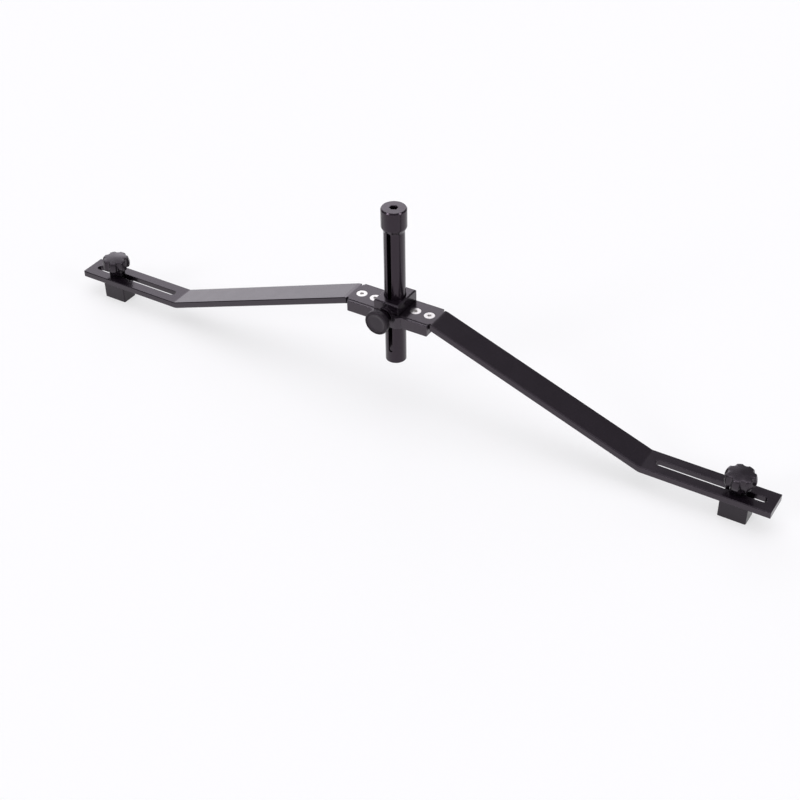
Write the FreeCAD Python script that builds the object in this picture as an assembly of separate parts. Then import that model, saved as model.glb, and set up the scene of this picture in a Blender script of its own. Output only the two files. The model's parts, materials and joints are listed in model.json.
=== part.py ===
import FreeCAD, Part

import math
import os

# Wheel dishing gauge: two bent flat bars screwed to a machined centre block, a slotted post that
# slides through the block under a thumb screw, and a sliding foot on each bar held by a star knob.
# Millimetres. Origin at the centre of the post's lower end, +Z up, bars along X.
# The thumb screw and the slot in the post face -Y, and the soles of the feet lie below the origin.

Vec = FreeCAD.Vector
along_x, along_y, along_z = Vec(1, 0, 0), Vec(0, 1, 0), Vec(0, 0, 1)
origin = Vec(0, 0, 0)

# clearances
running_gap = 0.05      # round slide or pin in its bore, on the radius
sliding_gap = 0.1       # flat faces that slide on each other
loose_gap = 0.25        # bolt head beside its pocket wall
past = 1.0              # how far a cutting shape reaches beyond the face it cuts
hair = 1e-6             # rounding allowed when edges are picked by their place

# arms: flat bar, bent twice
bar_width = 26.0
bar_thickness = 6.0
bar_edge = 0.6          # chamfer on every long edge
arm_tip_x = 343.6
arm_root_gap = 0.5      # between the inner end of a bar and the boss of the block
outer_bend_x = 234.5    # where the top face starts to rise
bend_beyond_block = 4.0 # from the block's end to where the top face is level again
arm_rise = 69.6         # height of the inner flat above the outer flat
bend_radius = 4.0       # on the hollow side of each bend
slot_width = 6.2
slot_inner_x = 243.0
slot_outer_x = 336.0
slot_edge = 0.3         # chamfer on the upper rim of the slot
slot_lead = 1.2         # wider chamfer on its lower rim, where the key of the foot enters
relief_width = 2.0      # bend relief notch just outside the block
relief_depth = 2.6
relief_gap = 0.2        # from the block's end to the notch

# countersunk screws that hold the arms
screw_from_boss = 8.2   # first screw from the side of the boss
screw_from_end = 5.8    # second screw from the end of the block
screw_shank = 5.0
screw_head = 9.4
screw_sink = 9.8        # mouth of the countersink
screw_short = 0.5       # end of a screw above the underside of the block
screw_socket = 3.0      # across flats
screw_socket_depth = 2.2

# centre block
block_length = 78.0
block_width = 30.0
block_floor = 5.0       # metal under the arms
lip_below_bar = 0.5     # the side lips stop this far below the top of the bars
pocket_gap = 0.1        # between a bar and each lip
block_edge = 0.4
boss_length = 23.4
boss_rise = 10.0        # boss top above the top of the bars
boss_edge = 1.0
pad_length = 29.0       # thickened pad at the front, under the thumb screw
pad_depth = 3.0
pad_corner = 5.0
hub_boss_diameter = 14.0
clamp_below_boss = 11.5 # thumb screw axis below the top of the boss
bore_edge = 0.5
boss_root = 2.0         # boss and hub boss run on into the metal behind them by this much

# post
post_diameter = 18.0
post_bore = 14.0
post_length = 148.0
post_bore_depth = 118.0
head_diameter = 22.8
head_straight = 17.8
head_taper = 4.2
head_chamfer_height = 1.3
head_chamfer_width = 0.8
head_socket = 6.0       # across flats
head_socket_depth = 8.0
head_pilot = 5.2        # hole from the socket down to the bore
post_slot_width = 4.0
post_slot_foot = 10.8   # plain ring left below the slot
post_slot_into_taper = 2.2

# thumb screw
thumb_diameter = 21.5
thumb_head = 5.2
thumb_hub_diameter = 12.0
thumb_hub = 7.4
thumb_gap = 0.7         # hub to the pad when the screw is tight
thumb_edge = 0.7
cap_diameter = 17.6
cap_thickness = 1.2
cap_sunk = 0.3
clamp_thread = 6.0
clamp_thread_in_knob = 8.5
tip_shoulder = 1.6
tip_key_gap = 0.15      # key of the tip beside each wall of the post slot
tip_key_reach = 1.5
tip_to_post = 0.05

# feet
foot_drop = 39.5        # soles below the post's lower end
foot_x = 312.5
foot_height = 18.6
foot_length = 23.8
foot_width = 16.0
foot_corner = 1.2
key_length = 14.0
key_height = 4.0
bolt_diameter = 5.0
bolt_head_flats = 8.0
bolt_head_height = 3.5
bolt_head_sunk = 1.0    # head below the sole
bolt_root = 0.5         # the shank runs on into the head by this much
washer_diameter = 14.0
washer_thickness = 1.2

# star knobs
knob_diameter = 26.2
knob_lobes = 7
knob_first_flute = -12.0  # degrees from +X
knob_flute_radius = 3.6
knob_flute_bite = 2.1
knob_hub_diameter = 15.0
knob_hub = 6.2
knob_head = 11.2
knob_edge_width = 2.8   # bevel round the top
knob_edge_height = 2.6
insert_flats = 8.0
insert_length = 9.5
insert_wall_gap = 0.05
insert_end_room = 0.3   # beyond the end of the bolt
bolt_into_knob = 8.5

# levels and places that follow
sole_z = -foot_drop
arm_low_z = sole_z + foot_height + sliding_gap
arm_low_top_z = arm_low_z + bar_thickness
arm_high_z = arm_low_z + arm_rise
arm_high_top_z = arm_high_z + bar_thickness
block_bottom_z = arm_high_z - block_floor
lip_top_z = arm_high_top_z - lip_below_bar
boss_top_z = arm_high_top_z + boss_rise
clamp_z = boss_top_z - clamp_below_boss
front_y = -block_width / 2
pad_y = front_y - pad_depth
taper_foot_z = post_length - head_chamfer_height - head_straight - head_taper
arm_root_x = boss_length / 2 + arm_root_gap
screw_first_x = boss_length / 2 + screw_from_boss
screw_second_x = block_length / 2 - screw_from_end
relief_x = block_length / 2 + relief_gap + relief_width / 2
inner_bend_x = block_length / 2 + bend_beyond_block
tip_diameter = clamp_thread - 2 * running_gap
knob_bottom_z = arm_low_top_z + washer_thickness + sliding_gap


def box(x0, x1, y0, y1, z0, z1):
    return Part.makeBox(x1 - x0, y1 - y0, z1 - z0, Vec(x0, y0, z0))


def rod(diameter, start, length, direction=along_z):
    return Part.makeCylinder(diameter / 2, length, start, direction)


def upright(edge):
    extent = edge.BoundBox
    return extent.ZLength > hair and max(extent.XLength, extent.YLength) < hair


# closed outline through the points, pushed along a vector
def prism(points, thrust):
    return Part.Face(Part.makePolygon(points + points[:1])).extrude(thrust)


# upright hexagonal bar; turn is the angle of its first corner from +X in degrees
def hexagon(flats, centre, height, turn=0.0):
    radius = flats / math.sqrt(3)
    angles = [math.radians(turn + 60 * step) for step in range(6)]
    corners = [centre + Vec(radius * math.cos(a), radius * math.sin(a), 0) for a in angles]
    return prism(corners, Vec(0, 0, height))


# upright bar with two straight sides along X and round ends that reach x0 and x1
def stadium(x0, x1, width, z0, z1):
    radius = width / 2
    middle = box(x0 + radius, x1 - radius, -radius, radius, z0, z1)
    ends = [rod(width, Vec(x, 0, z0), z1 - z0) for x in (x0 + radius, x1 - radius)]
    return middle.fuse(ends).removeSplitter()


# closed outline of (radius, height) corners, revolved about the Z axis
def turned(profile):
    points = [Vec(radius, 0, height) for radius, height in profile]
    return Part.Face(Part.makePolygon(points + points[:1])).revolve(origin, along_z, 360)


# a shape drawn about +Z, laid down so that its +Z runs along +Y at height z
def on_y(shape, z):
    laid = shape.copy()
    laid.rotate(origin, along_x, -90)
    laid.translate(Vec(0, 0, z))
    return laid


# the same piece on the other side of the post
def opposite(shape):
    turned_round = shape.copy()
    turned_round.rotate(origin, along_z, 180)
    return turned_round


# wire in the XZ plane through (x, z, radius) corners, each rounded by an arc of its radius
def rounded_outline(corners):
    points = [Vec(x, 0, z) for x, z, radius in corners]
    edges = []
    starts, ends, middles = [], [], []
    for i, (x, z, radius) in enumerate(corners):
        before = (points[i - 1] - points[i]).normalize()
        after = (points[(i + 1) % len(points)] - points[i]).normalize()
        half = before.getAngle(after) / 2
        reach = radius / math.tan(half)
        starts.append(points[i] + before * reach)
        ends.append(points[i] + after * reach)
        inward = (before + after).normalize()
        middles.append(points[i] + inward * (radius / math.sin(half) - radius))
    for i, (x, z, radius) in enumerate(corners):
        if radius > 0:
            edges.append(Part.Arc(starts[i], middles[i], ends[i]).toShape())
        edges.append(Part.makeLine(ends[i], starts[(i + 1) % len(points)]))
    return Part.Wire(edges)


# the bar on the +X side: root in the block, two bends, slotted outer flat
def arm():
    slope = math.atan2(arm_rise, outer_bend_x - inner_bend_x)
    shift = bar_thickness * math.tan(slope / 2)
    tight, wide = bend_radius, bend_radius + bar_thickness
    outline = rounded_outline([
        (arm_root_x, arm_high_z, 0),
        (inner_bend_x - shift, arm_high_z, tight),
        (outer_bend_x - shift, arm_low_z, wide),
        (arm_tip_x, arm_low_z, 0),
        (arm_tip_x, arm_low_top_z, 0),
        (outer_bend_x, arm_low_top_z, tight),
        (inner_bend_x, arm_high_top_z, wide),
        (arm_root_x, arm_high_top_z, 0),
    ])
    bar = Part.Face(outline).extrude(Vec(0, bar_width, 0))
    bar.translate(Vec(0, -bar_width / 2, 0))
    side_edges = [e for e in bar.Edges if e.BoundBox.YLength < hair]
    bar = bar.makeChamfer(bar_edge, side_edges)
    below, above = arm_low_z - past, arm_low_top_z + past
    bar = bar.cut(stadium(slot_inner_x, slot_outer_x, slot_width, below, above))
    middle_z = (arm_low_z + arm_low_top_z) / 2
    bar = bar.makeChamfer(slot_edge, [e for e in bar.Edges if on_slot_rim(e) and e.BoundBox.ZMin > middle_z])
    bar = bar.makeChamfer(slot_lead, [e for e in bar.Edges if on_slot_rim(e) and e.BoundBox.ZMax < middle_z])
    for side in (-1, 1):
        bar = bar.cut(relief_notch(side))
    for x in (screw_first_x, screw_second_x):
        bar = bar.cut(countersink(x))
    return bar


def on_slot_rim(edge):
    extent = edge.BoundBox
    near = 1000 * hair
    in_width = max(abs(extent.YMin), abs(extent.YMax)) < slot_width / 2 + near
    in_length = extent.XMin > slot_inner_x - near and extent.XMax < slot_outer_x + near
    return in_width and in_length and extent.ZLength < hair


# round-bottomed notch across one long edge of the bar, between block and bend
def relief_notch(side):
    radius = relief_width / 2
    wall_y = side * (bar_width / 2 - relief_depth + radius)
    height = bar_thickness + 2 * past
    start_z = arm_high_z - past
    round_part = rod(relief_width, Vec(relief_x, wall_y, start_z), height)
    outside_y = side * (bar_width / 2 + past)
    y0, y1 = sorted((wall_y, outside_y))
    return round_part.fuse(box(relief_x - radius, relief_x + radius, y0, y1, start_z, start_z + height))


# clearance hole with a 90 degree countersink from the top of the bar
def countersink(x):
    hole = rod(screw_shank + 2 * running_gap, Vec(x, 0, arm_high_z - past), bar_thickness + 2 * past)
    mouth = screw_sink / 2
    cone = Part.makeCone(0, mouth, mouth, Vec(x, 0, arm_high_top_z - mouth))
    return hole.fuse(cone)


# countersunk socket screw, its head resting in the countersink of the bar
def arm_screw(x):
    head, shank, mouth = screw_head / 2, screw_shank / 2, screw_sink / 2
    top = head - mouth
    foot = screw_short - bar_thickness - block_floor
    screw = turned([(0, foot), (shank, foot), (shank, shank - mouth), (head, top), (0, top)])
    socket = hexagon(screw_socket, Vec(0, 0, top - screw_socket_depth), screw_socket_depth + past, 30)
    screw = screw.cut(socket)
    screw.translate(Vec(x, 0, arm_high_top_z))
    return screw


def arm_screws():
    return Part.makeCompound([arm_screw(x) for x in (screw_first_x, screw_second_x)])


# machined block: base with an open pocket for each arm, boss and pad for the post clamp
def centre_block():
    half_length, half_width, half_boss = block_length / 2, block_width / 2, boss_length / 2
    base = box(-half_length, half_length, -half_width, half_width, block_bottom_z, lip_top_z)
    base = base.makeChamfer(block_edge, base.Edges)
    boss = box(-half_boss, half_boss, -half_width, half_width, lip_top_z - boss_root, boss_top_z)
    top_edges = [e for e in boss.Edges if e.BoundBox.ZMin > boss_top_z - hair]
    boss = boss.makeChamfer(boss_edge, top_edges)
    pad = box(-pad_length / 2, pad_length / 2, pad_y, 0, block_bottom_z, lip_top_z)
    pad_corners = [e for e in pad.Edges if upright(e) and e.BoundBox.YMax < pad_y + hair]
    pad = pad.makeFillet(pad_corner, pad_corners)
    hub_boss = rod(hub_boss_diameter, Vec(0, pad_y, clamp_z), pad_depth + boss_root, along_y)
    block = base.fuse([boss, pad, hub_boss]).removeSplitter()
    reach = bar_width / 2 + pocket_gap
    for side in (-1, 1):
        x0, x1 = sorted((side * half_boss, side * (half_length + past)))
        block = block.cut(box(x0, x1, -reach, reach, arm_high_z, boss_top_z + past))
    block = block.cut(post_way())
    clamp_hole = rod(clamp_thread + 2 * running_gap, Vec(0, pad_y - past, clamp_z), past - pad_y, along_y)
    block = block.cut(clamp_hole)
    thread = screw_shank + 2 * running_gap
    for x in (screw_first_x, screw_second_x):
        for side in (-1, 1):
            block = block.cut(rod(thread, Vec(side * x, 0, block_bottom_z - past), block_floor + 2 * past))
    return block


# bore for the post, with a chamfer at its upper mouth
def post_way():
    radius = post_diameter / 2 + running_gap
    mouth = radius + bore_edge + past
    return turned([
        (0, block_bottom_z - past), (radius, block_bottom_z - past), (radius, boss_top_z - bore_edge),
        (mouth, boss_top_z + past), (0, boss_top_z + past),
    ])


# turned post with its head, bored from below, slotted at the front, socket in the top
def post():
    outer, inner, head = post_diameter / 2, post_bore / 2, head_diameter / 2
    top = post_length
    body = turned([
        (inner, 0), (outer, 0), (outer, taper_foot_z), (head, taper_foot_z + head_taper),
        (head, top - head_chamfer_height), (head - head_chamfer_width, top), (0, top),
        (0, post_bore_depth), (inner, post_bore_depth),
    ])
    slot_high = taper_foot_z + post_slot_into_taper
    slot = stadium(post_slot_foot, slot_high, post_slot_width, 0, head)
    slot.rotate(origin, along_y, -90)
    slot.rotate(origin, along_z, 90)
    body = body.cut(slot)
    body = body.cut(rod(head_pilot, Vec(0, 0, post_bore_depth), top - post_bore_depth))
    socket_z = top - head_socket_depth
    return body.cut(hexagon(head_socket, Vec(0, 0, socket_z), head_socket_depth + past, 30))


# round thumb knob: recess for the cap in its face, hub behind, blind hole for the screw
def thumb_knob():
    rim, hub = thumb_diameter / 2, thumb_hub_diameter / 2
    height = thumb_head + thumb_hub
    body = turned([
        (0, 0), (rim - thumb_edge, 0), (rim, thumb_edge), (rim, thumb_head), (hub, thumb_head),
        (hub, height), (0, height),
    ])
    body = body.cut(rod(cap_diameter + 2 * running_gap, origin, cap_thickness + cap_sunk))
    hole = rod(clamp_thread, Vec(0, 0, height - clamp_thread_in_knob), clamp_thread_in_knob)
    return place_thumb(body.cut(hole))


# from the thumb knob's own place, front face at the origin, to its place on the block
def place_thumb(shape):
    placed = on_y(shape, clamp_z)
    placed.translate(Vec(0, pad_y - thumb_gap - thumb_head - thumb_hub, 0))
    return placed


# plain disc pressed into the front of the thumb knob
def thumb_cap():
    return place_thumb(rod(cap_diameter, Vec(0, 0, cap_sunk), cap_thickness))


# threaded rod fixed in the thumb knob, ending at the back of the clamp tip
def clamp_screw():
    start_y = pad_y - thumb_gap - clamp_thread_in_knob
    end_y = -post_diameter / 2 - tip_to_post - tip_shoulder - sliding_gap
    return rod(clamp_thread, Vec(0, start_y, clamp_z), end_y - start_y, along_y)


# pressure tip: a shoulder that bears on the post and a round key in the post's slot
def clamp_tip():
    key_diameter = post_slot_width - 2 * tip_key_gap
    key_y = -post_diameter / 2 - tip_to_post
    shoulder = rod(tip_diameter, Vec(0, key_y - tip_shoulder, clamp_z), tip_shoulder, along_y)
    key = rod(key_diameter, Vec(0, key_y, clamp_z), tip_to_post + tip_key_reach, along_y)
    return shoulder.fuse(key).removeSplitter()


# foot: rounded upright corners, a key that runs in the arm's slot, a pocket for the bolt head
def foot_block():
    half_length, half_width = foot_length / 2, foot_width / 2
    top_z = sole_z + foot_height
    block = box(foot_x - half_length, foot_x + half_length, -half_width, half_width, sole_z, top_z)
    block = block.makeFillet(foot_corner, [e for e in block.Edges if upright(e)])
    key = stadium(foot_x - key_length / 2, foot_x + key_length / 2,
                  slot_width - 2 * sliding_gap, top_z - past, top_z + key_height)
    block = block.fuse(key).removeSplitter()
    under = Vec(foot_x, 0, sole_z - past)
    hole = rod(bolt_diameter + 2 * running_gap, under, foot_height + key_height + 2 * past)
    pocket_depth = bolt_head_sunk + bolt_head_height
    pocket = hexagon(bolt_head_flats + 2 * loose_gap, under, pocket_depth + past)
    return block.cut(hole).cut(pocket)


# hexagon bolt standing up through the foot and the slot into the knob
def foot_bolt():
    head_z = sole_z + bolt_head_sunk
    head = hexagon(bolt_head_flats, Vec(foot_x, 0, head_z), bolt_head_height)
    seat_z = head_z + bolt_head_height
    end_z = knob_bottom_z + bolt_into_knob
    shank = rod(bolt_diameter, Vec(foot_x, 0, seat_z - bolt_root), end_z - seat_z + bolt_root)
    return head.fuse(shank).removeSplitter()


def foot_washer():
    ring = rod(washer_diameter, Vec(foot_x, 0, arm_low_top_z), washer_thickness)
    return ring.cut(rod(bolt_diameter + 2 * running_gap, Vec(foot_x, 0, arm_low_top_z), washer_thickness))


# lobed knob: hub, fluted head with a bevelled top, bored for its insert
def star_knob():
    rim, hub = knob_diameter / 2, knob_hub_diameter / 2
    top = knob_hub + knob_head
    body = turned([
        (0, 0), (hub, 0), (hub, knob_hub), (rim, knob_hub),
        (rim, top - knob_edge_height), (rim - knob_edge_width, top), (0, top),
    ])
    centre = rim + knob_flute_radius - knob_flute_bite
    for step in range(knob_lobes):
        angle = math.radians(knob_first_flute) + 2 * math.pi * step / knob_lobes
        start = Vec(centre * math.cos(angle), centre * math.sin(angle), knob_hub - past)
        body = body.cut(rod(2 * knob_flute_radius, start, knob_head + 2 * past))
    body = body.cut(hexagon(insert_flats + 2 * insert_wall_gap, origin, insert_length + insert_wall_gap))
    body.translate(Vec(foot_x, 0, knob_bottom_z))
    return body


# hexagonal threaded bush moulded into the knob, blind at the top
def knob_insert():
    bush = hexagon(insert_flats, origin, insert_length)
    bush = bush.cut(rod(bolt_diameter + 2 * running_gap, origin, bolt_into_knob + insert_end_room))
    bush.translate(Vec(foot_x, 0, knob_bottom_z))
    return bush


def save(name, shape):
    shape.exportStep("parts/" + name + ".step")


os.makedirs("parts", exist_ok=True)
save("centre_block", centre_block())
save("post", post())
save("clamp_knob", thumb_knob())
save("clamp_knob_cap", thumb_cap())
save("clamp_screw", clamp_screw())
save("clamp_tip", clamp_tip())
paired = {
    "arm": arm(), "arm_screws": arm_screws(), "foot_block": foot_block(), "foot_bolt": foot_bolt(),
    "foot_washer": foot_washer(), "foot_knob": star_knob(), "foot_knob_insert": knob_insert(),
}
for name, shape in paired.items():
    save("right_" + name, shape)
    save("left_" + name, opposite(shape))
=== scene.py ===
import json
import math

import bmesh
import bpy
from mathutils import Matrix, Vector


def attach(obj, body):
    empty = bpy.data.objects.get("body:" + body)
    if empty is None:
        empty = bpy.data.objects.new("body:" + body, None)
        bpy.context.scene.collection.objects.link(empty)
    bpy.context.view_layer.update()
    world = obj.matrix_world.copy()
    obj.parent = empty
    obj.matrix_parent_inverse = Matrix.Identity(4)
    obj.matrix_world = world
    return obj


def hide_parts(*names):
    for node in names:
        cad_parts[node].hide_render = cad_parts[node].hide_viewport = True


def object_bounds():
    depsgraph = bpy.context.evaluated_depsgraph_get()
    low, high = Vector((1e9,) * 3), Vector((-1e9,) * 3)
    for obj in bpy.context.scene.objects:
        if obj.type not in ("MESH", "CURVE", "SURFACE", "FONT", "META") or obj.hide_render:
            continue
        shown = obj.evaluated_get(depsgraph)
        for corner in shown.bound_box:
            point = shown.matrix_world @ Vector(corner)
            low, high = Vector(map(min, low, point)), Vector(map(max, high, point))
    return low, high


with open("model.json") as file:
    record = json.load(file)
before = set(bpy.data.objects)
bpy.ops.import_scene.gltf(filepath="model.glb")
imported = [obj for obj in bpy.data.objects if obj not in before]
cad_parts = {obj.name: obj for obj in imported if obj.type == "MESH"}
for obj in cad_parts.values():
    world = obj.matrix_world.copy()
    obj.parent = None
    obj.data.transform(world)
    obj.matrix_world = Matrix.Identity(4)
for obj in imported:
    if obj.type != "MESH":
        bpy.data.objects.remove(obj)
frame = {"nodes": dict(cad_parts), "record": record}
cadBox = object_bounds()

mm = 0.001  # the drawing's sizes are in millimetres, Blender's in metres
nodes = frame["nodes"]


def linear(hexText):
    # "#rrggbb" as sRGB, turned to the linear values that the shaders use
    channels = [int(hexText[i:i + 2], 16) / 255 for i in (1, 3, 5)]
    return [c / 12.92 if c <= 0.04045 else ((c + 0.055) / 1.055) ** 2.4 for c in channels] + [1.0]


def addNode(tree, kind, inputs=None, **settings):
    # inputs are sockets to link from or plain values, by the input's name or number
    node = tree.nodes.new(kind)
    for name, value in settings.items():
        setattr(node, name, value)
    for name, value in (inputs or {}).items():
        if isinstance(value, bpy.types.NodeSocket):
            tree.links.new(value, node.inputs[name])
        else:
            node.inputs[name].default_value = value
    return node


camera = {
    "place": (0.54330, -0.87482, 0.74231),
    "down": 37.46,     # degrees below level
    "heading": 31.69,  # degrees left of straight ahead
    "roll": -0.85,
    "lens": 66.16,     # mm
    "sensor": 36,      # mm
    "nearest": 0.01,   # m, what is nearer isn't drawn
}
cameraData = bpy.data.cameras.new("camera")
cameraData.sensor_width = camera["sensor"]
cameraData.lens = camera["lens"]
cameraData.clip_start = camera["nearest"]
cameraObject = bpy.data.objects.new("camera", cameraData)
bpy.context.scene.collection.objects.link(cameraObject)
turn = (
    Matrix.Rotation(math.radians(camera["heading"]), 4, "Z")
    @ Matrix.Rotation(math.radians(90 - camera["down"]), 4, "X")
    @ Matrix.Rotation(math.radians(camera["roll"]), 4, "Z")
)
cameraObject.matrix_world = Matrix.Translation(camera["place"]) @ turn
bpy.context.scene.camera = cameraObject
bpy.context.scene.view_settings.view_transform = "Standard"
print("camera placed")

studio = {
    "colour": "#f6f4fa",
    "base": 0.26,  # even light from all round
    "lobes": [
        # name, heading left of +Y, elevation and half width in degrees, strength at its middle
        ("back left window", 54, 10, 46, 1.55),
        ("overhead panel", 0, 90, 46, 1.85),
        ("front fill", 205, 25, 55, 0.25),
        ("window's lower pane", 33, 24, 13, 1.5),
        ("front left lamp", 155.5, 27, 11, 11),  # small and bright, for the glints on chamfers
        ("right lamp", 268, 27, 10, 9),
    ],
}
world = bpy.data.worlds.new("studio")
world.use_nodes = True
bpy.context.scene.world = world
tree = world.node_tree
tree.nodes.clear()
direction = addNode(tree, "ShaderNodeTexCoord").outputs["Generated"]
total = studio["base"]
for label, heading, elevation, halfWidth, peak in studio["lobes"]:
    h, e = math.radians(heading), math.radians(elevation)
    aim = (-math.sin(h) * math.cos(e), math.cos(h) * math.cos(e), math.sin(e))
    facing = addNode(tree, "ShaderNodeVectorMath", {
        0: direction, 1: aim,
    }, operation="DOT_PRODUCT", label=label)
    lobe = addNode(tree, "ShaderNodeMapRange", {
        "Value": facing.outputs["Value"], "From Min": math.cos(math.radians(halfWidth)), "From Max": 1.0,
        "To Min": 0.0, "To Max": peak,
    }, interpolation_type="SMOOTHSTEP")
    total = addNode(tree, "ShaderNodeMath", {0: total, 1: lobe.outputs["Result"]}, operation="ADD").outputs[0]
background = addNode(tree, "ShaderNodeBackground", {"Color": linear(studio["colour"]), "Strength": total})
addNode(tree, "ShaderNodeOutputWorld", {"Surface": background.outputs[0]})

floorLook = {
    # matt paper that stays white to the eye and in reflections, and keeps the shadow
    "colour": "#fbfbfc", "size": 12.0,
    "glow": 0.62,  # share of plain white that is seen
}
bpy.ops.mesh.primitive_plane_add(size=floorLook["size"], location=(0, 0, cadBox[0][2]))
floor = bpy.context.object
floor.name = "floor"
paper = bpy.data.materials.new("white_backdrop_paper")
paper.use_nodes = True
tree = paper.node_tree
tree.nodes.clear()
matt = addNode(tree, "ShaderNodeBsdfDiffuse", {"Color": linear(floorLook["colour"])})
white = addNode(tree, "ShaderNodeEmission", {"Color": (1, 1, 1, 1), "Strength": 1.0})
rays = addNode(tree, "ShaderNodeLightPath")
seen = rays.outputs["Is Camera Ray"]
for ray in ("Is Glossy Ray", "Is Transmission Ray"):
    seen = addNode(tree, "ShaderNodeMath", {0: seen, 1: rays.outputs[ray]}, operation="MAXIMUM").outputs[0]
share = addNode(tree, "ShaderNodeMath", {0: seen, 1: floorLook["glow"]}, operation="MULTIPLY")
mixed = addNode(tree, "ShaderNodeMixShader", {0: share.outputs[0], 1: matt.outputs[0], 2: white.outputs[0]})
addNode(tree, "ShaderNodeOutputMaterial", {"Surface": mixed.outputs[0]})
floor.data.materials.append(paper)
print("studio lit")


noiseSpan = {"From Min": 0.3, "From Max": 0.7}  # nearly all of a noise texture's values lie in here
roundingSamples = 6
reliefDepth = 0.02  # mm, of tool lines and mould grain


def newMaterial(name):
    material = bpy.data.materials.new(name)
    material.use_nodes = True
    material.node_tree.nodes.clear()
    return material, material.node_tree


def grainNoise(tree, grainMm, detail=2.0):
    # noise whose grain measures grainMm = (x, y, z) along the object's axes
    place = addNode(tree, "ShaderNodeTexCoord").outputs["Object"]
    scale = tuple(1 / (g * mm) for g in grainMm)
    scaled = addNode(tree, "ShaderNodeVectorMath", {0: place, 1: scale}, operation="MULTIPLY")
    noise = addNode(tree, "ShaderNodeTexNoise", {"Vector": scaled.outputs[0], "Scale": 1.0, "Detail": detail})
    return noise.outputs["Fac"]


def edgeMask(tree, radiusMm):
    # 1 along convex edges and corners, 0 on open faces
    soft = addNode(tree, "ShaderNodeBevel", {"Radius": radiusMm * mm}, samples=roundingSamples)
    flat = addNode(tree, "ShaderNodeNewGeometry").outputs["Normal"]
    same = addNode(tree, "ShaderNodeVectorMath", {0: soft.outputs[0], 1: flat}, operation="DOT_PRODUCT")
    # cosines of the angle between the eased normal and the face's own: about 11 and 33 degrees
    return addNode(tree, "ShaderNodeMapRange", {
        "Value": same.outputs["Value"], "From Min": 0.98, "From Max": 0.84, "To Min": 0.0, "To Max": 1.0,
    }).outputs["Result"]


def easedRelief(tree, look, height):
    # edges eased by look["rounding"] mm, with the tool lines or mould grain on top
    rounded = addNode(tree, "ShaderNodeBevel", {"Radius": look["rounding"] * mm}, samples=roundingSamples)
    return addNode(tree, "ShaderNodeBump", {
        "Strength": look["relief"], "Distance": reliefDepth * mm,
        "Height": height, "Normal": rounded.outputs[0],
    }).outputs[0]


handling = {
    # what use leaves on anodised parts, and the painted highlight along their edges
    "patch": (14, 14, 14),     # mm
    "smears": (-0.02, 0.03),   # added to the roughness
    "edgeWearAndHighlight": (0.15, 0.55),  # least and most of the edge's lightening: dye worn off, with a painted highlight on top
}


def anodised(name, look):
    # clear oxide over a black dye: near black face on, pale grey where it mirrors the studio
    material, tree = newMaterial(name)
    lines = grainNoise(tree, look["grain"])
    patches = grainNoise(tree, handling["patch"], 3.0)
    satin = addNode(tree, "ShaderNodeMapRange", {
        **noiseSpan, "Value": lines, "To Min": look["roughness"][0], "To Max": look["roughness"][1],
    })
    smears = addNode(tree, "ShaderNodeMapRange", {
        **noiseSpan, "Value": patches, "To Min": handling["smears"][0], "To Max": handling["smears"][1],
    })
    rough = addNode(tree, "ShaderNodeMath", {0: satin.outputs[0], 1: smears.outputs[0]}, operation="ADD")
    uneven = addNode(tree, "ShaderNodeMapRange", {
        **noiseSpan, "Value": patches, "To Min": handling["edgeWearAndHighlight"][0], "To Max": handling["edgeWearAndHighlight"][1],
    })
    # the convex edges are mixed towards the wear colour: partly real edge wear, partly a painted highlight
    # along the edges
    worn = addNode(tree, "ShaderNodeMath", {
        0: edgeMask(tree, look["wearAndHighlightEdge"]), 1: uneven.outputs[0],
    }, operation="MULTIPLY")
    dye = addNode(tree, "ShaderNodeMix", {
        0: patches, 6: linear(look["dye"]), 7: linear(look["dyeWarm"]),
    }, data_type="RGBA")
    # painted highlight and wear: along the edges the dye gives way to the lighter wear colour
    colour = addNode(tree, "ShaderNodeMix", {
        0: worn.outputs[0], 6: dye.outputs[2], 7: linear(look["wearAndHighlight"]),
    }, data_type="RGBA")
    shader = addNode(tree, "ShaderNodeBsdfPrincipled", {
        "Base Color": colour.outputs[2], "Roughness": rough.outputs[0], "IOR": look["ior"],
        "Specular Tint": linear(look["tint"]), "Normal": easedRelief(tree, look, lines),
    })
    addNode(tree, "ShaderNodeOutputMaterial", {"Surface": shader.outputs[0]})
    return material


drawnBar = anodised("black_anodised_drawn_bar", {
    # flat bar drawn along X, so its fine lines run along X
    "grain": (30, 0.35, 0.35), "roughness": (0.16, 0.24), "wearAndHighlightEdge": 0.4, "rounding": 0.2, "relief": 0.10,
    # the wear colour lightens the edges: worn dye, and a painted highlight along them
    "dye": "#0f0a10", "dyeWarm": "#120c13", "wearAndHighlight": "#4b474e", "tint": "#fff0ff", "ior": 1.60,
})
milledBlock = anodised("black_anodised_milled_block", {
    # cutter lines run along X on every face
    "grain": (12, 0.5, 0.5), "roughness": (0.20, 0.28), "wearAndHighlightEdge": 0.5, "rounding": 0.4, "relief": 0.12,
    # the wear colour lightens the edges: worn dye, and a painted highlight along them
    "dye": "#0f0a10", "dyeWarm": "#120c13", "wearAndHighlight": "#4b474e", "tint": "#fff0ff", "ior": 1.65,
})
turnedPost = anodised("black_anodised_turned_post", {
    # turning lines run round the post; their pitch is drawn at 0.5 mm, coarser than life, so that it shows
    "grain": (40, 40, 0.5), "roughness": (0.17, 0.25), "wearAndHighlightEdge": 0.4, "rounding": 0.4, "relief": 0.10,
    # the wear colour lightens the edges: worn dye, and a painted highlight along them
    "dye": "#0f0a10", "dyeWarm": "#120c13", "wearAndHighlight": "#4b474e", "tint": "#ffe9fd", "ior": 1.50,
})
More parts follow.
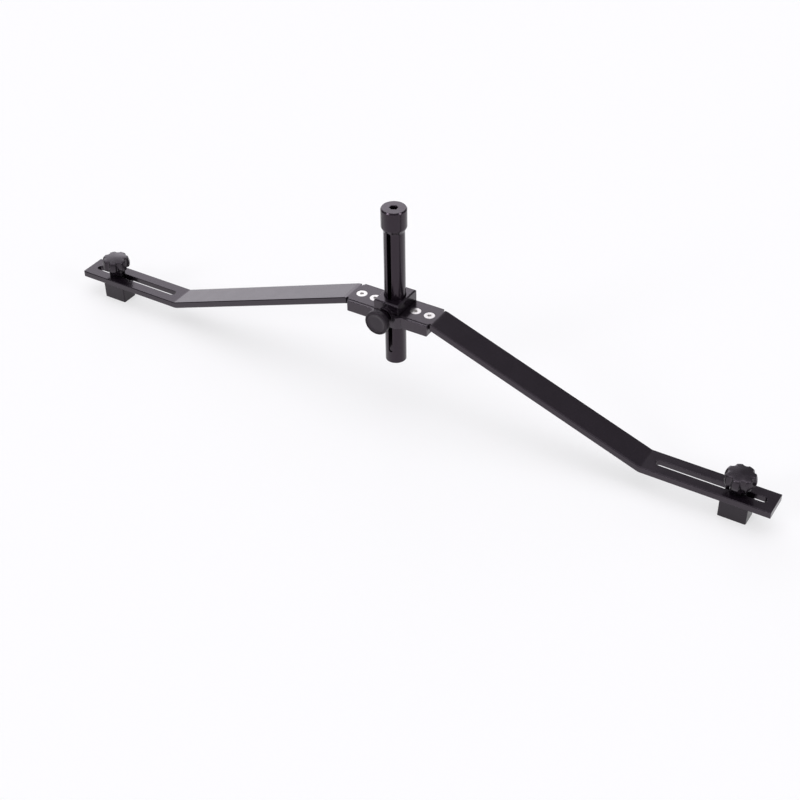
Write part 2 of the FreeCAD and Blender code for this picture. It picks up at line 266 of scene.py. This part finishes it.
knurledRim = anodised("black_anodised_turned_knob", {
    # turned and knurled, a little duller than the block behind it
    "grain": (0.6, 6, 0.6), "roughness": (0.28, 0.36), "wearAndHighlightEdge": 0.3, "rounding": 0.15, "relief": 0.12,
    # the wear colour lightens the edges a little: worn dye, and a faint painted highlight along them
    "dye": "#0f0a10", "dyeWarm": "#120c13", "wearAndHighlight": "#1f1c21", "tint": "#fff0ff", "ior": 1.42,
})


polishPatch = (6, 6, 6)  # mm, of the places that hands have polished on plastic


def plastic(name, look):
    # black thermoplastic with a fine grain: a soft broad highlight, black in its hollows
    material, tree = newMaterial(name)
    grain = grainNoise(tree, look["grain"])
    patches = grainNoise(tree, polishPatch, 3.0)
    rough = addNode(tree, "ShaderNodeMapRange", {
        **noiseSpan, "Value": patches, "To Min": look["roughness"][0], "To Max": look["roughness"][1],
    })
    colour = addNode(tree, "ShaderNodeMix", {
        0: patches, 6: linear(look["colour"]), 7: linear(look["worn"]),
    }, data_type="RGBA")
    shader = addNode(tree, "ShaderNodeBsdfPrincipled", {
        "Base Color": colour.outputs[2], "Roughness": rough.outputs[0], "IOR": look["ior"],
        "Specular Tint": linear(look["tint"]), "Normal": easedRelief(tree, look, grain),
    })
    addNode(tree, "ShaderNodeOutputMaterial", {"Surface": shader.outputs[0]})
    return material


machinedNylon = plastic("black_nylon_machined", {
    # solid nylon block with the level lines of the cutter on its sides
    "grain": (6, 6, 0.4), "roughness": (0.26, 0.36), "rounding": 0.3, "relief": 0.15,
    "colour": "#0f0b10", "worn": "#130f14", "tint": "#fff2ff", "ior": 1.50,
})
mouldedKnob = plastic("black_glass_filled_nylon_moulded", {
    # the mould's spark-eroded skin, drawn at 0.35 mm, coarser than life, so that it shows
    "grain": (0.35, 0.35, 0.35), "roughness": (0.22, 0.30), "rounding": 0.1, "relief": 0.22,
    "colour": "#0f0b10", "worn": "#141015", "tint": "#fff0ff", "ior": 1.56,
})
mouldedDisc = plastic("black_abs_moulded", {
    # smoother than the knobs, with a slight sheen
    "grain": (0.3, 0.3, 0.3), "roughness": (0.18, 0.24), "rounding": 0.1, "relief": 0.12,
    "colour": "#120e13", "worn": "#161217", "tint": "#fff2ff", "ior": 1.50,
})


def metal(name, look):
    # bare metal with fine tool lines
    material, tree = newMaterial(name)
    lines = grainNoise(tree, look["grain"])
    rough = addNode(tree, "ShaderNodeMapRange", {
        **noiseSpan, "Value": lines, "To Min": look["roughness"][0], "To Max": look["roughness"][1],
    })
    colour = addNode(tree, "ShaderNodeMix", {
        0: lines, 6: linear(look["colour"]), 7: linear(look["shade"]),
    }, data_type="RGBA")
    shader = addNode(tree, "ShaderNodeBsdfPrincipled", {
        "Base Color": colour.outputs[2], "Roughness": rough.outputs[0], "Metallic": 1.0,
        "Normal": easedRelief(tree, look, lines),
    })
    addNode(tree, "ShaderNodeOutputMaterial", {"Surface": shader.outputs[0]})
    return material


stainless = metal("stainless_steel_bright", {
    # headed screws, bright from the tumbler
    "grain": (0.4, 0.4, 4), "roughness": (0.18, 0.28), "rounding": 0.12, "relief": 0.15,
    "colour": "#dedcda", "shade": "#cdcbc9",
})
zincPlate = metal("zinc_plated_steel", {
    # cold formed and plated: an even, slightly cloudy grey
    "grain": (1.5, 1.5, 1.5), "roughness": (0.30, 0.42), "rounding": 0.12, "relief": 0.1,
    "colour": "#c2c4c8", "shade": "#a9abb0",
})
blackZinc = metal("black_zinc_plated_steel", {
    # zinc plate with a black passivated skin: dark, with a soft metal sheen
    "grain": (1.5, 1.5, 1.5), "roughness": (0.34, 0.46), "rounding": 0.12, "relief": 0.1,
    "colour": "#2a282c", "shade": "#201e22",
})
turnedBrass = metal("brass_turned", {
    # lines of the lathe across its length
    "grain": (5, 5, 0.3), "roughness": (0.22, 0.32), "rounding": 0.1, "relief": 0.1,
    "colour": "#d8b56a", "shade": "#c49f55",
})

finishes = {
    "black_anodised": drawnBar, "post_anodised": turnedPost, "thumb_anodised": knurledRim,
    "black_cap": mouldedDisc, "black_knob": mouldedKnob, "black_nylon": machinedNylon,
    "bright_screws": stainless, "zinc_steel": zincPlate, "brass": turnedBrass,
}
ownFinishes = {"centre_block": milledBlock, "left_foot_washer": blackZinc, "right_foot_washer": blackZinc}
slotOf = {part["node"]: part["material_slot"] for part in frame["record"]["subparts"]}
for name, piece in nodes.items():
    piece.data.materials.clear()
    piece.data.materials.append(ownFinishes.get(name, finishes[slotOf[name]]))
print("finishes on", len(nodes), "nodes")


def ringPiece(name, rings, finish, hollow=False):
    # a skin over rings of points in mm, all with the same count; a face closes either end,
    # or in a hollow piece the last ring joins the first
    around = len(rings[0])
    faces = []
    for r in range(len(rings) if hollow else len(rings) - 1):
        low, high = r * around, (r + 1) % len(rings) * around
        for i in range(around):
            j = (i + 1) % around
            faces.append((low + i, low + j, high + j, high + i))
    if not hollow:
        faces.insert(0, tuple(reversed(range(around))))
        faces.append(tuple(range((len(rings) - 1) * around, len(rings) * around)))
    mesh = bpy.data.meshes.new(name)
    mesh.from_pydata([tuple(c * mm for c in point) for ring in rings for point in ring], [], faces)
    mesh.materials.append(finish)
    mesh.shade_smooth()
    piece = bpy.data.objects.new(name, mesh)
    bpy.context.scene.collection.objects.link(piece)
    return piece


def fit(piece, body, node):
    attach(piece, body)
    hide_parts(node)


def anglesOf(count):
    return [2 * math.pi * i / count for i in range(count)]


footX = {"left": -312.5, "right": 312.5}  # where the feet stand in the photographed position

starKnob = {
    # the clamping knob on each foot: seven lobes with steep fronts and a low domed crown, on a short hub
    "radius": 13.1, "bottom": -13.5, "around": 210,
    "flutes": 7, "fluteRadius": 3.6, "fluteDepth": 2.1,
    "firstFlute": -12,  # degrees
    "blend": 0.45,      # mm over which a lobe's corner runs into its flute
    # height above the bottom, how far the outline is drawn in, how much of the flutes is left
    "profile": [
        (9.7, 12.6, 0.0), (9.7, 8.4, 0.0), (0.0, 8.4, 0.0),
        (0.0, 5.9, 0.0), (0.15, 5.7, 0.0), (5.0, 5.65, 0.0), (5.6, 5.3, 0.15), (5.9, 4.6, 0.4),
        (6.1, 3.6, 0.7), (6.3, 2.4, 0.95), (6.6, 1.5, 1.1), (7.2, 0.85, 1.2), (8.2, 0.4, 1.25),
        (9.4, 0.12, 1.25), (10.6, 0.0, 1.22), (12.0, 0.15, 1.15), (13.4, 0.45, 1.05), (14.6, 0.8, 0.95),
        (15.5, 1.1, 0.85), (16.0, 1.35, 0.78), (16.3, 1.65, 0.72), (16.5, 2.05, 0.66), (16.62, 2.6, 0.55),
        (16.72, 3.4, 0.38), (16.84, 4.6, 0.18), (17.0, 6.2, 0.04), (17.15, 8.0, 0.0), (17.3, 10.2, 0.0),
        (17.4, 12.6, 0.0),
    ],
}


def starOutline(look, angle):
    # distance from the axis to the lobed outline: the nearest flute is an arc cut into the circle,
    # and a soft minimum of the two eases the corner between them
    reach = look["radius"]
    pitch = 2 * math.pi / look["flutes"]
    off = (angle - math.radians(look["firstFlute"]) + pitch / 2) % pitch - pitch / 2
    centre = reach + look["fluteRadius"] - look["fluteDepth"]
    inside = look["fluteRadius"] ** 2 - (centre * math.sin(off)) ** 2
    if inside <= 0:
        return reach
    flute = centre * math.cos(off) - math.sqrt(inside)
    gap = (reach - flute) / look["blend"]
    return reach - look["blend"] * (math.log1p(math.exp(gap)) - math.log(2) * math.exp(-abs(gap)))


def starKnobRings(centreX, turned):
    look = starKnob
    rings = []
    for height, inset, keep in look["profile"]:
        ring = []
        for a in anglesOf(look["around"]):
            lobed = starOutline(look, a - turned)
            r = look["radius"] + (lobed - look["radius"]) * keep - inset
            ring.append((centreX + r * math.cos(a), r * math.sin(a), look["bottom"] + height))
        rings.append(ring)
    return rings


for side, turned in (("left", math.pi), ("right", 0.0)):
    knob = ringPiece(side + "_star_knob", starKnobRings(footX[side], turned), mouldedKnob)
    fit(knob, side + "_knob", side + "_foot_knob")
print("star knobs made")


threadForm = {"slope": 1.5, "rootShare": 0.2}  # of both threads: steepness of a flank, flat at the root


def crestShare(turns):
    # 1 on a thread's crest, 0 in its root, at a place along it given in turns
    return min(1.0, max(0.0, abs(2 * (turns % 1) - 1) * threadForm["slope"] - threadForm["rootShare"]))


def hexReach(apothem, angle):
    # distance from the axis to a hexagon's side, one corner at angle 0
    return apothem / math.cos(angle % (math.pi / 3) - math.pi / 6)


footBolt = {
    # M5 bolt under each foot: dished and chamfered hexagon head, 0.8 mm thread
    "flats": 8.0, "around": 48,
    # how far the head's corners reach (5.0 leaves them whole), height; then the bare shank
    "head": [
        (0.4, -38.25), (3.2, -38.25), (3.5, -38.5), (3.9, -38.5), (5.0, -38.05), (5.0, -35.1), (4.0, -35.0),
    ],
    "shank": [(2.68, -35.0), (2.48, -34.8), (2.48, -30.0)],
    "threadFrom": -30.0, "end": -5.0, "radius": 2.48, "depth": 0.49, "pitch": 0.8, "perPitch": 6,
    "runOut": 0.6,    # mm over which the thread begins and the tip tapers
    "tipTaper": 0.5,
}


def footBoltRings(centreX):
    look = footBolt
    angles = anglesOf(look["around"])
    rings = []
    for limit, z in look["head"] + look["shank"]:
        reach = [min(hexReach(look["flats"] / 2, a), limit) for a in angles]
        rings.append([(centreX + r * math.cos(a), r * math.sin(a), z) for r, a in zip(reach, angles)])
    length = look["end"] - look["threadFrom"]
    steps = round(length / look["pitch"] * look["perPitch"])
    for k in range(1, steps + 1):
        along = length * k / steps
        depth = look["depth"] * min(1.0, along / look["runOut"])
        tip = look["tipTaper"] * (1 - min(1.0, (length - along) / look["runOut"]))
        ring = []
        for a in angles:
            crest = crestShare(along / look["pitch"] + a / (2 * math.pi))
            r = look["radius"] - depth * (1 - crest) - tip
            ring.append((centreX + r * math.cos(a), r * math.sin(a), look["threadFrom"] + along))
        rings.append(ring)
    return rings


for side, centreX in footX.items():
    bolt = ringPiece(side + "_bolt", footBoltRings(centreX), zincPlate)
    fit(bolt, side + "_foot", side + "_foot_bolt")
print("foot bolts made")

clampAxisZ = 53.3  # height of the clamp screw's axis, which runs along Y

thumbKnob = {
    # the round clamping knob in front: a rim with a fine straight knurl, a recess in its face for the disc,
    # a hub behind it and a blind hole for the screw
    "ridges": 72, "ridgeDepth": 0.25, "perRidge": 6,
    # distance from the axis, place along Y, share of the knurl
    "profile": [
        (0.5, -29.8, 0), (8.85, -29.8, 0), (8.85, -31.15, 0), (9.0, -31.3, 0), (9.97, -31.3, 0),
        (10.1, -31.24, 0.1), (10.69, -30.65, 0.8), (10.75, -30.5, 1), (10.75, -26.7, 1), (10.69, -26.55, 0.8),
        (10.25, -26.1, 0), (6.5, -26.1, 0), (6.12, -25.98, 0), (6.0, -25.6, 0), (6.0, -19.1, 0),
        (5.6, -18.7, 0), (3.35, -18.7, 0), (3.05, -19.0, 0), (3.05, -27.2, 0), (0.5, -27.2, 0),
    ],
}


def aboutClampAxis(distance, along, angle):
    return (distance * math.cos(angle), along, clampAxisZ - distance * math.sin(angle))


def thumbKnobRings():
    look = thumbKnob
    rings = []
    for distance, along, share in look["profile"]:
        ring = []
        for i, a in enumerate(anglesOf(look["ridges"] * look["perRidge"])):
            wave = 0.5 - 0.5 * math.cos(2 * math.pi * i / look["perRidge"])
            ring.append(aboutClampAxis(distance - share * look["ridgeDepth"] * wave, along, a))
        rings.append(ring)
    return rings


fit(ringPiece("thumb_knob", thumbKnobRings(), knurledRim), "clamp_knob", "clamp_knob")
print("thumb knob made")

capDisc = {
    # the bare disc let into the thumb knob: a raised border round a face that is a little domed
    "around": 120,
    # distance from the axis, place along Y
    "profile": [
        (0.4, -29.8), (8.75, -29.8), (8.75, -30.75), (8.67, -30.92), (8.5, -31.0), (7.65, -31.0),
        (7.5, -30.91), (7.35, -30.82), (5.0, -30.9), (2.5, -30.96), (0.4, -30.98),
    ],
}


def capRings():
    # the profile runs from back to front, so the points go the other way round
    angles = [-a for a in anglesOf(capDisc["around"])]
    return [[aboutClampAxis(distance, along, a) for a in angles] for distance, along in capDisc["profile"]]


fit(ringPiece("thumb_cap", capRings(), mouldedDisc), "clamp_knob", "clamp_knob_cap")
print("cap made")

clampThread = {
    # the thumb knob's M6 screw: 1 mm pitch, rolled, with a blunt end
    "radius": 3.0, "depth": 0.6, "pitch": 1.0, "from": -27.15, "to": -10.75, "around": 36, "perPitch": 8,
    "runOut": 0.6,  # mm over which the thread fades at either end
}


def clampThreadRings():
    look = clampThread
    length = look["to"] - look["from"]
    steps = round(length / look["pitch"] * look["perPitch"])
    rings = []
    for k in range(steps + 1):
        along = length * k / steps
        fade = min(1.0, along / look["runOut"], (length - along) / look["runOut"])
        ring = []
        for a in anglesOf(look["around"]):
            crest = crestShare(along / look["pitch"] + a / (2 * math.pi)) * fade
            r = look["radius"] - look["depth"] * (1 - crest)
            ring.append(aboutClampAxis(r, look["from"] + along, a))
        rings.append(ring)
    return rings


fit(ringPiece("clamp_thread", clampThreadRings(), zincPlate), "clamp_knob", "clamp_screw")
print("clamp screw made")

post = {
    # the slotted post: its head runs down into the shank through a taper and a soft hollow
    "around": 120,
    # radius and height, up the outside: eased foot, shank, neck, head, chamfer
    "outside": [
        (8.8, 0), (9.0, 0.2), (9.0, 125.6), (9.03, 126.3), (9.1, 126.9), (9.24, 127.5), (9.5, 128.1),
        (10.5, 130.1), (10.74, 130.6), (10.86, 131.0), (10.9, 131.5), (10.9, 146.7), (10.1, 148.0),
    ],
    # half the socket's width across flats and height: chamfered mouth, floor
    "socket": [(3.45, 148.0), (3.0, 147.55), (3.0, 140.0)],
    "socketTurn": math.pi / 6,  # puts two of its corners 30 degrees off X
    # radius and height, down the inside: pilot hole, bore
    "inside": [(2.6, 140.0), (2.6, 118.0), (7.0, 118.0), (7.0, 0)],
    "slotWidth": 4.0, "slotFrom": 10.8, "slotTo": 128.3, "slotEndSteps": 24, "slotReach": 13,
    "weld": 0.003,  # mm, the distance at which two points are one
    "crease": 28,   # degrees, the least angle of an edge that stays sharp
}


def postRings():
    look = post
    angles = anglesOf(look["around"])

    def roundRing(radius, z):
        return [(radius * math.cos(a), radius * math.sin(a), z) for a in angles]

    def socketRing(apothem, z):
        reach = [hexReach(apothem, a + look["socketTurn"]) for a in angles]
        return [(r * math.cos(a), r * math.sin(a), z) for r, a in zip(reach, angles)]

    return (
        [roundRing(radius, z) for radius, z in look["outside"]]
        + [socketRing(apothem, z) for apothem, z in look["socket"]]
        + [roundRing(radius, z) for radius, z in look["inside"]]
    )


def slotCutter():
    # a bar with round ends, from the post's axis out through its front
    half, steps = post["slotWidth"] / 2, post["slotEndSteps"]
    outline = []
    for start, middle in ((0, post["slotTo"] - half), (1, post["slotFrom"] + half)):
        for k in range(steps + 1):
            a = math.pi * (start + k / steps)
            outline.append((half * math.cos(a), middle + half * math.sin(a)))
    rings = [[(x, y, z) for x, z in outline] for y in (0, -post["slotReach"])]
    return ringPiece("slot_cutter", rings, turnedPost)


slottedPost = ringPiece("slotted_post", postRings(), turnedPost, hollow=True)
cutter = slotCutter()
cut = slottedPost.modifiers.new("slot", "BOOLEAN")
cut.operation, cut.solver, cut.object = "DIFFERENCE", "EXACT", cutter
bpy.context.view_layer.update()
evaluated = slottedPost.evaluated_get(bpy.context.evaluated_depsgraph_get())
slottedPost.data = bpy.data.meshes.new_from_object(evaluated)
slottedPost.modifiers.clear()
bpy.data.objects.remove(cutter)
joined = bmesh.new()  # points that the cut left on top of each other become one
joined.from_mesh(slottedPost.data)
bmesh.ops.remove_doubles(joined, verts=joined.verts, dist=post["weld"] * mm)
joined.to_mesh(slottedPost.data)
joined.free()
slottedPost.data.set_sharp_from_angle(angle=math.radians(post["crease"]))
fit(slottedPost, "post", "post")
print("post made")
